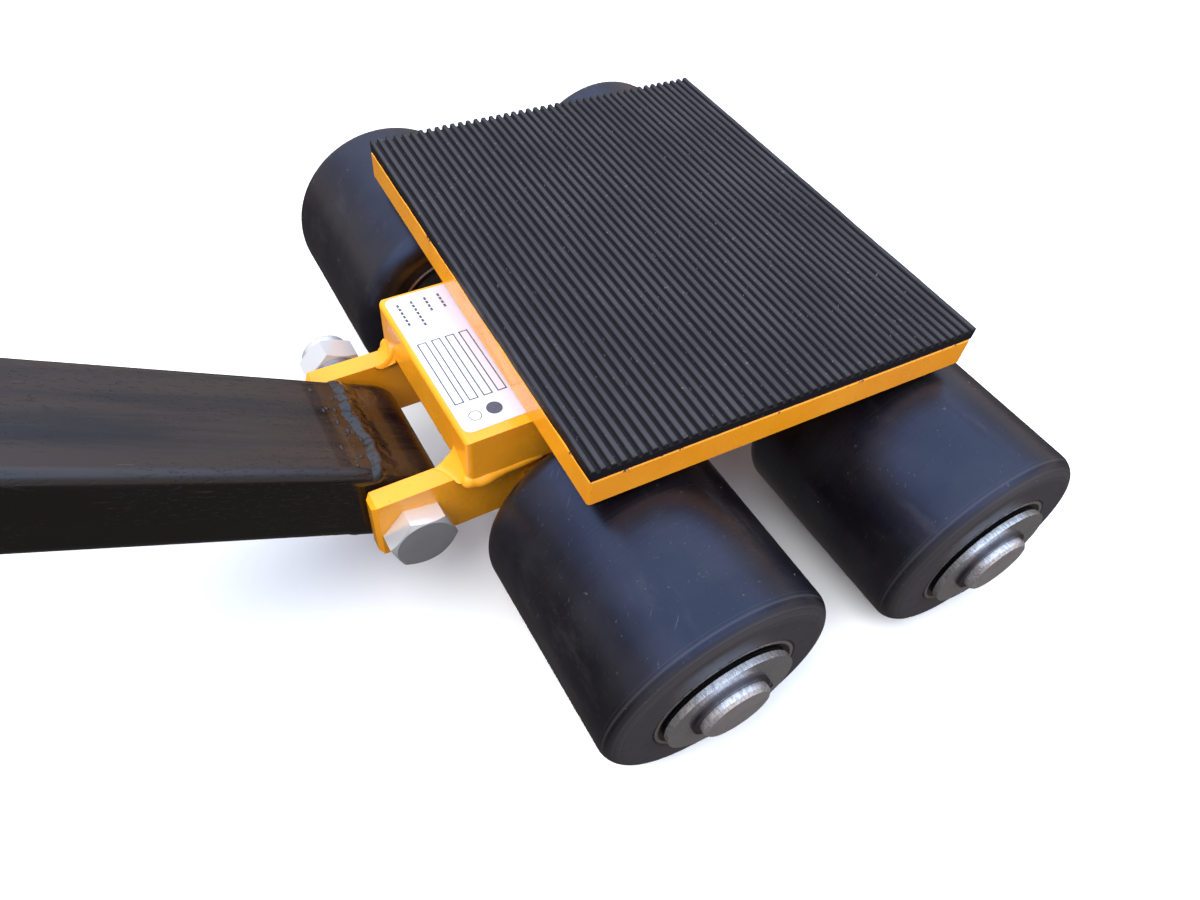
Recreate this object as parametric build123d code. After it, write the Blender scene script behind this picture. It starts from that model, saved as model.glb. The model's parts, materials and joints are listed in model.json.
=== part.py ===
from build123d import *
import math
import os

# A steerable roller skate for moving heavy machines: four rollers on two axles,
# a low welded chassis, a deck plate that turns on a thrust bearing, and a drawbar
# hinged between two ears at the front.
# Millimetres. +X points forward to the drawbar, +Y to the left, +Z up.
# The origin is the point of the floor under the swivel axis.

# ---- Rollers and axles ----
roller_r = 42.5                 # running radius, so the axle height as well
roller_len = 86.5
roller_inner_y = 56.6           # inner end face of a roller
roller_edge = 7.0               # rounding of the running edges
roller_shoulder_r = 21.0        # bore between the two bearings
face_recess_r = 33.0            # shallow recess in the inner end face
face_recess_depth = 3.0
seat_chamfer = 0.8              # mouth of the outer bearing seat
axle_x = 58.0
axle_r = 12.5
axle_end_y = 150.8
axle_chamfer = 1.0
roller_outer_y = roller_inner_y + roller_len

# ---- Deep groove ball bearing, 25 x 52 x 15 ----
bearing_r = 26.0
bearing_width = 15.0
outer_ring_inside_r = 22.9
inner_ring_outside_r = 16.2
ball_r = 3.97
ball_pitch_r = 19.52
ball_count = 9
snug = 0.02                     # between a ball and the track that carries it
free = 0.25                     # between a ball and the track of the other body
cage_inside_r = 18.2
cage_outside_r = 20.8
cage_width = 10.0
cage_play = 0.15                # between a ball and its pocket
seal_inside_r = inner_ring_outside_r + 0.3
seal_thickness = 0.8
seal_sunk = 0.3                 # seal face below the ring face

# ---- Parts on the axle ----
spacer_r = 15.0                 # tube between the two inner rings
inner_spacer_r = 16.0           # sleeve between side plate and bearing
shim_r = 16.0
shim_thickness = 1.2
end_washer_r = 23.3
end_washer_thickness = 2.2
circlip_thickness = 1.2
groove_r = 11.95                # bottom of a circlip groove
groove_play = 0.05
circlip_width = 3.0             # radial width behind the opening
circlip_offset = 0.6            # the ring narrows towards the opening
circlip_lug_r = 2.2
circlip_lug_hole_r = 1.0
circlip_lug_sunk = 0.1          # lugs start this far inside the groove
circlip_lug_turn = 18.0         # of each lug from the middle of the opening
circlip_opening = 4.2
near_circlip_turn = 205.0       # opening of a circlip on the left side, from +X towards +Z
far_circlip_turn = 100.0

# ---- Chassis ----
plate_in_y = 38.0               # side plate, inner face
plate_out_y = 48.0              # side plate, outer face
plate_half_x = 71.0
plate_bottom_z = 28.0
plate_top_z = 68.0
plate_corner = 11.0             # chamfer at the upper corners
cross_thickness = 9.0
cross_bottom_z = 30.0
cross_top_z = 60.0
hub_half_x = 60.0
hub_top_z = 88.0
boss_r = 25.0
boss_bottom_z = 58.0

# ---- Turntable: thrust bearing 40 x 60 x 13, bush and king pin ----
thrust_bottom_z = 75.5
thrust_top_z = 88.5
race_thickness = 4.0
thrust_pitch_r = 25.0
thrust_ball_r = 3.0
thrust_ball_count = 20
lower_race_r = 30.0
lower_race_bore_r = 21.0
upper_race_r = 29.0
thrust_seat_r = 30.1
thrust_cage_inside_r = 21.3
thrust_cage_outside_r = 28.7
thrust_cage_thickness = 2.5
bush_r = 16.0
bush_bore_r = 12.55             # runs on the pin with 0.05 clearance
pin_r = 12.5
pin_collar_r = 20.0
pin_bottom_z = 50.0
pin_washer_r = 20.0
pin_washer_thickness = 3.0
pin_washer_gap = 0.3            # under the boss

# ---- Deck ----
deck_x = 150.5
deck_y = 187.2
deck_thickness = 11.65
deck_offset_x = 2.4             # the plate is welded slightly off the pin
deck_offset_y = -2.5
deck_yaw = -1.7                 # degrees, turned a little from square
deck_edge = 0.7
deck_bottom_z = thrust_top_z
deck_top_z = deck_bottom_z + deck_thickness
mat_thickness = 4.83
mat_pitch = 3.46
mat_grooves = 43
mat_first_groove = -72.5
groove_depth = 1.7
groove_top_width = 1.75
groove_floor_width = 1.3

# ---- Hitch ----
hitch_y = 13.2                  # centre line of hitch and drawbar
block_half_y = 37.7
block_front_x = 101.8
block_bottom_z = 68.6
block_edge = 2.0
ear_thickness = 7.5
ear_gap = 53.0
ear_bottom_z = 43.0
ear_front_x = 133.4
ear_edge = 1.5
label_back_x = 66.0
label_front_x = 100.2
label_far_y = -23.3
label_near_y = 46.9
label_thickness = 0.25
label_corner = 3.0

# ---- Hinge bolt, along Y ----
hinge_x = 119.6
hinge_z = 51.0
bolt_r = 6.0
ear_hole_r = 6.2
hex_r = 12.1                    # over the corners
hex_chamfer_r = 10.1
hex_head_turn = 10.0            # degrees, a corner from +X towards +Z
hex_nut_turn = 20.0
head_height = 7.5
bolt_end_y = -48.5
bolt_chamfer = 1.0
hinge_washer_r = 12.5
hinge_washer_thickness = 2.5
nut_start_y = -31.5             # the nut is not run down: the bolt stays slack
nut_height = 10.5
nut_collar_r = 9.3
nut_collar_height = 5.0
nut_collar_round = 1.5

# ---- Drawbar, drawn level along +X from the hinge and then raised ----
drawbar_pitch = 29.0
bar_width = 50.0
bar_height = 30.0
bar_wall = 3.0
bar_corner = 4.5
eye_length = bar_height / 2     # from the hinge axis to the start of the tube
eye_bore_r = 6.08               # runs on the bolt with 0.08 clearance
eye_rounding = 4.0
handle_at = 420.0               # from the hinge axis to the cross handle
bar_past_handle = 27.0
handle_r = 12.5
handle_wall = 2.0
handle_half = 120.0
grip_r = 16.0
grip_start = 44.0               # from the drawbar's centre line
grip_end_wall = 3.0
grip_round = 5.0
plug_flange = 3.0
plug_depth = 14.0
plug_fit = 0.2

over = 1.0                      # how far a cutting tool passes a face


def block(x0, x1, y0, y1, z0, z1):
    """A box between two corners."""
    size = Box(x1 - x0, y1 - y0, z1 - z0)
    return Pos((x0 + x1) / 2, (y0 + y1) / 2, (z0 + z1) / 2) * size


def bar_y(radius, y0, y1, x=0.0, z=0.0):
    """A round bar along Y."""
    return Pos(x, (y0 + y1) / 2, z) * Rot(90, 0, 0) * Cylinder(radius, y1 - y0)


def tube_y(outside, inside, y0, y1, x=0.0, z=0.0):
    """A tube along Y."""
    return bar_y(outside, y0, y1, x, z) - bar_y(inside, y0 - over, y1 + over, x, z)


def bar_z(radius, z0, z1):
    """A round bar along the swivel axis."""
    return Pos(0, 0, (z0 + z1) / 2) * Cylinder(radius, z1 - z0)


def tube_z(outside, inside, z0, z1):
    """A tube along the swivel axis."""
    return bar_z(outside, z0, z1) - bar_z(inside, z0 - over, z1 + over)


def mirrored(shape):
    """The same thing on the other side of the centre plane."""
    return mirror(shape, about=Plane.XZ)


def group(shapes):
    """Separate solids that share one node."""
    return Compound(children=[solid for shape in shapes for solid in shape.solids()])


def circlip():
    """An external circlip for a 25 mm shaft, flat in XY, its opening towards +X."""
    lug_reach = groove_r + circlip_lug_r - circlip_lug_sunk
    outline = Pos(-circlip_offset, 0) * Circle(groove_r + circlip_width - circlip_offset)
    holes = []
    for side in (-1, 1):
        turn = math.radians(side * circlip_lug_turn)
        centre = Pos(lug_reach * math.cos(turn), lug_reach * math.sin(turn))
        outline += centre * Circle(circlip_lug_r)
        holes.append(centre * Circle(circlip_lug_hole_r))
    mouth = Pos(groove_r, 0) * Rectangle(groove_r, circlip_opening)
    flat = outline - Circle(groove_r) - mouth - holes
    return extrude(flat, circlip_thickness)


def hexagon_y(y0, y1, turn, chamfer_low, chamfer_high):
    """A hexagon bar along Y at the hinge, chamfered like a bolt head at the ends asked for."""
    height = y1 - y0
    wide = hex_chamfer_r + height / math.tan(math.radians(30))
    shape = extrude(RegularPolygon(hex_r, 6), height)
    if chamfer_high:
        shape = shape & Pos(0, 0, height / 2) * Cone(wide, hex_chamfer_r, height)
    if chamfer_low:
        shape = shape & Pos(0, 0, height / 2) * Cone(hex_chamfer_r, wide, height)
    upright = Rot(-90, 0, 0) * Rot(0, 0, -turn) * shape
    return Pos(hinge_x, y0, hinge_z) * upright


# ---- Rollers ----

def bearing_places():
    """Inner faces of a roller's two bearings."""
    return (roller_inner_y + face_recess_depth, roller_outer_y - bearing_width)


def on_axle(shape, x):
    """Moves a shape from the Y axis to an axle."""
    return Pos(x, 0, roller_r) * shape


def roller_body():
    """The roller with two bearing seats, on the Y axis."""
    tread = bar_y(roller_r, roller_inner_y, roller_outer_y)
    tread = fillet(tread.edges().filter_by(GeomType.CIRCLE), roller_edge)
    inner_bearing_y, outer_bearing_y = bearing_places()
    cuts = [
        bar_y(roller_shoulder_r, roller_inner_y - over, roller_outer_y + over),
        bar_y(face_recess_r, roller_inner_y - over, roller_inner_y + face_recess_depth),
        bar_y(bearing_r, roller_inner_y, inner_bearing_y + bearing_width),
        bar_y(bearing_r, outer_bearing_y, roller_outer_y + over),
    ]
    mouth = bearing_r + seat_chamfer
    flare = Cone(mouth, bearing_r, seat_chamfer)
    flare = Pos(0, roller_outer_y - seat_chamfer / 2, 0) * Rot(90, 0, 0) * flare
    return tread - cuts - flare


def ball_places(middle_y):
    """Ball centres of one bearing."""
    places = []
    for i in range(ball_count):
        turn = 2 * math.pi * (i + 0.5) / ball_count
        places.append(Pos(ball_pitch_r * math.sin(turn), middle_y, ball_pitch_r * math.cos(turn)))
    return places


def track(middle_y, radius):
    """The torus that a ball track is cut with."""
    return Pos(0, middle_y, 0) * Rot(90, 0, 0) * Torus(ball_pitch_r, radius)


def outer_ring(y0):
    """Outer bearing ring with its track."""
    ring = tube_y(bearing_r, outer_ring_inside_r, y0, y0 + bearing_width)
    return ring - track(y0 + bearing_width / 2, ball_r + snug)


def inner_ring(y0):
    """Inner bearing ring with its track."""
    ring = tube_y(inner_ring_outside_r, axle_r, y0, y0 + bearing_width)
    return ring - track(y0 + bearing_width / 2, ball_r + free)


def ball_cage(y0):
    """The cage that keeps the balls apart, with a round pocket for each ball."""
    middle = y0 + bearing_width / 2
    half = cage_width / 2
    cage = tube_y(cage_outside_r, cage_inside_r, middle - half, middle + half)
    pocket = Pos(0, 0, ball_pitch_r) * Cylinder(ball_r + cage_play, ball_pitch_r / 2)
    for i in range(ball_count):
        cage -= Pos(0, middle, 0) * Rot(0, 360 * (i + 0.5) / ball_count, 0) * pocket
    return cage


def seals(y0):
    """The two rubber seals of one bearing."""
    inner_face = y0 + seal_sunk
    outer_face = y0 + bearing_width - seal_sunk
    return [
        tube_y(outer_ring_inside_r, seal_inside_r, inner_face, inner_face + seal_thickness),
        tube_y(outer_ring_inside_r, seal_inside_r, outer_face - seal_thickness, outer_face),
    ]


def axle_circlips():
    """Four circlips, one at each axle end."""
    y = circlip_y()
    ring = Rot(90, 0, 0) * circlip()
    clips = []
    for x in (axle_x, -axle_x):
        near = Pos(x, y + circlip_thickness, roller_r) * Rot(0, -near_circlip_turn, 0) * ring
        far = Pos(x, -y, roller_r) * Rot(0, -far_circlip_turn, 0) * ring
        clips += [near, far]
    return group(clips)


def circlip_y():
    """Inner face of the circlip on the left side."""
    return roller_outer_y + shim_thickness + end_washer_thickness


def on_all_axle_ends(shape):
    """Copies a shape on the left of the Y axis to all four axle ends."""
    copies = []
    for x in (axle_x, -axle_x):
        copies += [on_axle(shape, x), on_axle(mirrored(shape), x)]
    return group(copies)


def axle():
    """Plain shaft with a circlip groove at each end, on the Y axis."""
    shaft = bar_y(axle_r, -axle_end_y, axle_end_y)
    shaft = chamfer(shaft.edges().filter_by(GeomType.CIRCLE), axle_chamfer)
    y0 = circlip_y()
    groove = tube_y(axle_r + over, groove_r, y0, y0 + circlip_thickness + groove_play)
    return shaft - groove - mirrored(groove)


# ---- Chassis ----

def side_plate():
    """Left side plate with both axle holes."""
    outline = Rectangle(2 * plate_half_x, plate_top_z - plate_bottom_z)
    upper = outline.vertices().group_by(Axis.Y)[-1]
    outline = chamfer(upper, plate_corner)
    plate = extrude(Plane.XZ * outline, plate_out_y - plate_in_y)
    plate = Pos(0, plate_out_y, (plate_top_z + plate_bottom_z) / 2) * plate
    for x in (axle_x, -axle_x):
        plate -= bar_y(axle_r, plate_in_y - over, plate_out_y + over, x, roller_r)
    return plate


def cross_plate(x0, x1):
    """Plate that joins the ends of the side plates."""
    return block(x0, x1, -plate_out_y, plate_out_y, cross_bottom_z, cross_top_z)


def hub_block():
    """Turntable base across both side plates, with a boss for the bush."""
    base = block(-hub_half_x, hub_half_x, -plate_out_y, plate_out_y, plate_top_z, hub_top_z)
    base += bar_z(boss_r, boss_bottom_z, plate_top_z)
    base -= bar_z(thrust_seat_r, thrust_bottom_z, hub_top_z + over)
    return base - bar_z(bush_r, boss_bottom_z - over, thrust_bottom_z + over)


# ---- Turntable ----

def thrust_middle_z():
    """Height of the thrust balls, resting in the upper race."""
    return thrust_bottom_z + race_thickness + thrust_ball_r - free


def thrust_track(radius):
    """The torus that a thrust race is cut with."""
    return Pos(0, 0, thrust_middle_z()) * Torus(thrust_pitch_r, radius)


def thrust_places():
    """Centres of the thrust balls."""
    places = []
    for i in range(thrust_ball_count):
        turn = 2 * math.pi * (i + 0.5) / thrust_ball_count
        across = (thrust_pitch_r * math.cos(turn), thrust_pitch_r * math.sin(turn))
        places.append(Pos(across[0], across[1], thrust_middle_z()))
    return places


def thrust_lower_race():
    """Housing washer of the thrust bearing."""
    top = thrust_bottom_z + race_thickness
    race = tube_z(lower_race_r, lower_race_bore_r, thrust_bottom_z, top)
    return race - thrust_track(thrust_ball_r + free)


def thrust_upper_race():
    """Shaft washer of the thrust bearing, under the deck."""
    race = tube_z(upper_race_r, pin_collar_r, thrust_top_z - race_thickness, thrust_top_z)
    return race - thrust_track(thrust_ball_r + snug)


def thrust_cage():
    """Cage of the thrust balls."""
    middle = thrust_middle_z()
    half = thrust_cage_thickness / 2
    ring = tube_z(thrust_cage_outside_r, thrust_cage_inside_r, middle - half, middle + half)
    return ring - [place * Sphere(thrust_ball_r + cage_play) for place in thrust_places()]


def pin_washer_z():
    """Under side of the king pin washer."""
    return boss_bottom_z - pin_washer_gap - pin_washer_thickness


def king_pin():
    """Pin with a collar that centres the shaft washer, and a circlip groove below."""
    pin = bar_z(pin_r, pin_bottom_z, deck_top_z)
    pin = chamfer(pin.edges().filter_by(GeomType.CIRCLE).sort_by(Axis.Z)[0], axle_chamfer)
    pin += bar_z(pin_collar_r, thrust_top_z - race_thickness, thrust_top_z)
    top = pin_washer_z()
    return pin - tube_z(pin_r + over, groove_r, top - circlip_thickness - groove_play, top)


# ---- Deck ----

def on_deck(shape):
    """Turns and shifts a shape drawn square on the swivel axis into the deck's place."""
    return Pos(deck_offset_x, deck_offset_y, 0) * Rot(0, 0, deck_yaw) * shape


def deck_plate():
    """Steel deck with broken edges and the hole for the king pin."""
    plate = block(-deck_x / 2, deck_x / 2, -deck_y / 2, deck_y / 2, deck_bottom_z, deck_top_z)
    plate = chamfer(plate.edges(), deck_edge)
    return on_deck(plate) - bar_z(pin_r, deck_bottom_z - over, deck_top_z + over)


def rubber_mat():
    """Ribbed mat: one outline across the ribs, drawn along them."""
    floor = mat_thickness - groove_depth
    outline = [(-deck_x / 2, 0), (-deck_x / 2, mat_thickness)]
    for i in range(mat_grooves):
        x = mat_first_groove + i * mat_pitch
        outline.append((x - groove_top_width / 2, mat_thickness))
        outline.append((x - groove_floor_width / 2, floor))
        outline.append((x + groove_floor_width / 2, floor))
        outline.append((x + groove_top_width / 2, mat_thickness))
    outline += [(deck_x / 2, mat_thickness), (deck_x / 2, 0)]
    face = Plane.XZ * make_face(Polyline(outline, close=True))
    mat = extrude(face, deck_y)
    return on_deck(Pos(0, deck_y / 2, deck_top_z) * mat)


# ---- Hitch ----

def hitch_block():
    """Solid bar welded to the front of the turntable base."""
    low_y = hitch_y - block_half_y
    high_y = hitch_y + block_half_y
    body = block(hub_half_x, block_front_x, low_y, high_y, block_bottom_z, hub_top_z)
    front = body.edges().group_by(Axis.X)[-1]
    return fillet(front, block_edge)


def hitch_ear(side):
    """Flat bar with the hinge hole. side: +1 left, -1 right."""
    inner = hitch_y + side * ear_gap / 2
    outer = inner + side * ear_thickness
    back = plate_half_x + cross_thickness
    low, high = sorted((inner, outer))
    ear = block(back, ear_front_x, low, high, ear_bottom_z, block_bottom_z)
    ear = chamfer(ear.edges().group_by(Axis.X)[-1], ear_edge)
    return ear - bar_y(ear_hole_r, low - over, high + over, hinge_x, hinge_z)


def ear_outer_y(side):
    """Outer face of an ear."""
    return hitch_y + side * (ear_gap / 2 + ear_thickness)


def name_plate():
    """Blank plate on the hitch block, its front corners rounded."""
    outline = Rectangle(label_front_x - label_back_x, label_near_y - label_far_y)
    outline = fillet(outline.vertices().group_by(Axis.X)[-1], label_corner)
    middle = Pos((label_front_x + label_back_x) / 2, (label_near_y + label_far_y) / 2, hub_top_z)
    return middle * extrude(outline, label_thickness)


def hinge_bolt():
    """Hexagon bolt with its head on the left."""
    head_y = ear_outer_y(1)
    head = hexagon_y(head_y, head_y + head_height, hex_head_turn, False, True)
    shank = bar_y(bolt_r, bolt_end_y, head_y, hinge_x, hinge_z)
    tip = shank.edges().filter_by(GeomType.CIRCLE).sort_by(Axis.Y)[0]
    return head + chamfer(tip, bolt_chamfer)


def hinge_nut():
    """Locknut with a round collar."""
    low = nut_start_y - nut_height
    nut = hexagon_y(low, nut_start_y, hex_nut_turn, True, True)
    collar = bar_y(nut_collar_r, low - nut_collar_height, low, hinge_x, hinge_z)
    rim = collar.edges().filter_by(GeomType.CIRCLE).sort_by(Axis.Y)[0]
    nut += fillet(rim, nut_collar_round)
    return nut - bar_y(bolt_r, low - 2 * nut_collar_height, nut_start_y + over, hinge_x, hinge_z)


# ---- Drawbar ----

def raised(shape):
    """Moves a shape drawn level at the hinge to the drawbar's place."""
    return Pos(hinge_x, hitch_y, hinge_z) * Rot(0, -drawbar_pitch, 0) * shape


def drawbar_eye():
    """Solid eye, half round behind and square in front, its long edges rounded like the tube's."""
    half = bar_width / 2
    eye = block(0, eye_length, -half, half, -bar_height / 2, bar_height / 2)
    eye += bar_y(bar_height / 2, -half, half)
    sides = eye.edges().group_by(Axis.Y)
    rims = [edge for edge in sides[0] + sides[-1] if edge.center().X < eye_length - over]
    eye = fillet(rims, eye_rounding)
    return raised(eye - bar_y(eye_bore_r, -half - over, half + over))


def bar_section(inset):
    """Section of the drawbar tube, set in by an amount from its outside."""
    width = bar_width - 2 * inset
    height = bar_height - 2 * inset
    return Plane.YZ * RectangleRounded(width, height, bar_corner - inset)


def drawbar_tube():
    """Rectangular tube with the cross holes for the handle."""
    length = handle_at + bar_past_handle - eye_length
    tube = extrude(bar_section(0), length) - extrude(bar_section(bar_wall), length)
    tube = Pos(eye_length, 0, 0) * tube
    return raised(tube - bar_y(handle_r, -bar_width, bar_width, handle_at))


def end_plug():
    """Plastic plug that closes the end of the tube."""
    plug = extrude(bar_section(0), plug_flange)
    plug += extrude(bar_section(bar_wall + plug_fit), -plug_depth)
    plug = Pos(handle_at + bar_past_handle, 0, 0) * plug
    return raised(plug - bar_y(handle_r + over, -bar_width, bar_width, handle_at))


def drawbar_handle():
    """Cross tube through the drawbar."""
    return raised(tube_y(handle_r, handle_r - handle_wall, -handle_half, handle_half, handle_at))


def handle_grip(side):
    """Closed rubber sleeve on one half of the handle. side: +1 left, -1 right."""
    end = handle_half + grip_end_wall
    sleeve = bar_y(grip_r, grip_start, end, handle_at)
    tip = sleeve.edges().filter_by(GeomType.CIRCLE).sort_by(Axis.Y)[-1]
    sleeve = fillet(tip, grip_round)
    sleeve -= bar_y(handle_r, grip_start - over, handle_half, handle_at)
    if side < 0:
        sleeve = mirrored(sleeve)
    return raised(sleeve)


# ---- Nodes ----

def roller_nodes():
    """Each roller with the bearing parts that turn with it."""
    nodes = {}
    seats = bearing_places()
    balls = [place * Sphere(ball_r) for y0 in seats for place in ball_places(y0 + bearing_width / 2)]
    turning = {
        "roller": [roller_body()],
        "bearing_outer_rings": [outer_ring(y0) for y0 in seats],
        "bearing_balls": balls,
        "bearing_cages": [ball_cage(y0) for y0 in seats],
        "bearing_seals": [seal for y0 in seats for seal in seals(y0)],
    }
    for end, x in (("front", axle_x), ("rear", -axle_x)):
        for name, shapes in turning.items():
            left = on_axle(group(shapes), x)
            nodes[f"{name}_{end}_left"] = left
            nodes[f"{name}_{end}_right"] = mirrored(left)
    return nodes


def axle_nodes():
    """Axles and everything that is clamped on them."""
    inner_bearing_y, outer_bearing_y = bearing_places()
    rings = group([inner_ring(inner_bearing_y), inner_ring(outer_bearing_y)])
    between = tube_y(spacer_r, axle_r, inner_bearing_y + bearing_width, outer_bearing_y)
    sleeve = tube_y(inner_spacer_r, axle_r, plate_out_y, inner_bearing_y)
    shim = tube_y(shim_r, axle_r, roller_outer_y, roller_outer_y + shim_thickness)
    washer = tube_y(end_washer_r, axle_r, roller_outer_y + shim_thickness, circlip_y())
    return {
        "front_axle": on_axle(axle(), axle_x),
        "rear_axle": on_axle(axle(), -axle_x),
        "bearing_inner_rings": on_all_axle_ends(rings),
        "bearing_spacer_tubes": on_all_axle_ends(between),
        "axle_inner_sleeves": on_all_axle_ends(sleeve),
        "axle_shim_rings": on_all_axle_ends(shim),
        "axle_end_washers": on_all_axle_ends(washer),
        "axle_circlips": axle_circlips(),
    }


def chassis_nodes():
    """Welded chassis with the fixed parts of the turntable and the hinge."""
    front = plate_half_x + cross_thickness
    washer_y = ear_outer_y(-1)
    return {
        "side_plate_left": side_plate(),
        "side_plate_right": mirrored(side_plate()),
        "front_cross_plate": cross_plate(plate_half_x, front),
        "rear_cross_plate": cross_plate(-front, -plate_half_x),
        "hub_block": hub_block(),
        "hub_bush": tube_z(bush_r, bush_bore_r, boss_bottom_z, thrust_bottom_z),
        "thrust_lower_race": thrust_lower_race(),
        "hitch_block": hitch_block(),
        "hitch_ear_left": hitch_ear(1),
        "hitch_ear_right": hitch_ear(-1),
        "name_plate": name_plate(),
        "hinge_bolt": hinge_bolt(),
        "hinge_washer": tube_y(hinge_washer_r, bolt_r, washer_y - hinge_washer_thickness,
                               washer_y, hinge_x, hinge_z),
        "hinge_nut": hinge_nut(),
    }


def deck_nodes():
    """Everything that turns with the deck."""
    washer_z = pin_washer_z()
    return {
        "deck_plate": deck_plate(),
        "rubber_mat": rubber_mat(),
        "king_pin": king_pin(),
        "king_pin_washer": tube_z(pin_washer_r, pin_r, washer_z, washer_z + pin_washer_thickness),
        "king_pin_circlip": Pos(0, 0, washer_z - circlip_thickness) * circlip(),
        "thrust_upper_race": thrust_upper_race(),
        "thrust_balls": group([place * Sphere(thrust_ball_r) for place in thrust_places()]),
        "thrust_cage": thrust_cage(),
    }


def drawbar_nodes():
    """Drawbar, cross handle and grips."""
    return {
        "drawbar_eye": drawbar_eye(),
        "drawbar_tube": drawbar_tube(),
        "drawbar_end_plug": end_plug(),
        "drawbar_handle": drawbar_handle(),
        "handle_grip_left": handle_grip(1),
        "handle_grip_right": handle_grip(-1),
    }


os.makedirs("parts", exist_ok=True)
for nodes in (chassis_nodes(), axle_nodes(), roller_nodes(), deck_nodes(), drawbar_nodes()):
    for name, shape in nodes.items():
        export_step(shape, f"parts/{name}.step")
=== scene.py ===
import json
import math
import random

import bpy
from mathutils import Matrix, Vector, noise


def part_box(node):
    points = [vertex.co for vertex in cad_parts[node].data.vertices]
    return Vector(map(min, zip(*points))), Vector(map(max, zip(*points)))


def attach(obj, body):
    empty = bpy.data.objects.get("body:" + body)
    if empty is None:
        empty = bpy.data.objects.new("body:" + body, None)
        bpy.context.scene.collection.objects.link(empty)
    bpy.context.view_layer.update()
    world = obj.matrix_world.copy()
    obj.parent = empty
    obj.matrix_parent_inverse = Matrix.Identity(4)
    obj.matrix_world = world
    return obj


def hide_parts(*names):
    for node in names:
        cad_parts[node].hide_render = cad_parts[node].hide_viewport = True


# A steerable roller skate for machines, with a turning deck and a hinged drawbar. The CAD nodes get
# their materials here. Welds, the bolt's thread, the mat's ribs, the grips and the plate's print are
# made pieces that ride on the CAD bodies. Lengths are in metres; X points forward, Y left and Z up.

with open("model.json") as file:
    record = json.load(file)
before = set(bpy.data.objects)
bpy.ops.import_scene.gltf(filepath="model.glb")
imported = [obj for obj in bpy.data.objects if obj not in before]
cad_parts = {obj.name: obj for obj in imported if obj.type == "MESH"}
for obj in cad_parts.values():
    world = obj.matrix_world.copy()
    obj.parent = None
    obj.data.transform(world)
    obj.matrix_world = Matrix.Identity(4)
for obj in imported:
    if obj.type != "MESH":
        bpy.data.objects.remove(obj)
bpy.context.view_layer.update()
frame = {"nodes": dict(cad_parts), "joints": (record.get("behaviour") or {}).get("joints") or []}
nodes = frame["nodes"]
MM = 0.001


# ---------------------------------------------------------------- places from the frame

def joint(name):
    """The frame's joint of that name."""
    return next(j for j in frame["joints"] if j["name"] == name)


def size(node):
    """Extent of a CAD node along X, Y and Z."""
    low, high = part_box(node)
    return high - low


def middle(node):
    """Centre of a CAD node's box."""
    low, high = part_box(node)
    return (low + high) / 2


HINGE = Vector(joint("drawbar_pitch")["pos_m"])
DECK_YAW = math.radians(-1.7)       # the deck sits a little turned on its pin
BAR_PITCH = math.radians(29)        # the drawbar's angle above the floor at rest
BAR_WIDTH = size("drawbar_eye").y
BAR_HEIGHT = 30 * MM
BAR_CORNER = 4.5 * MM               # outer radius of the tube's long edges
HANDLE_R = 12.5 * MM
ROLLER_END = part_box("roller_front_left")[1].y
# From the drawbar's own frame, X along it from the hinge, to the row frame.
bar_to_row = Matrix.Translation(HINGE) @ Matrix.Rotation(-BAR_PITCH, 4, "Y")


# ---------------------------------------------------------------- node materials

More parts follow.
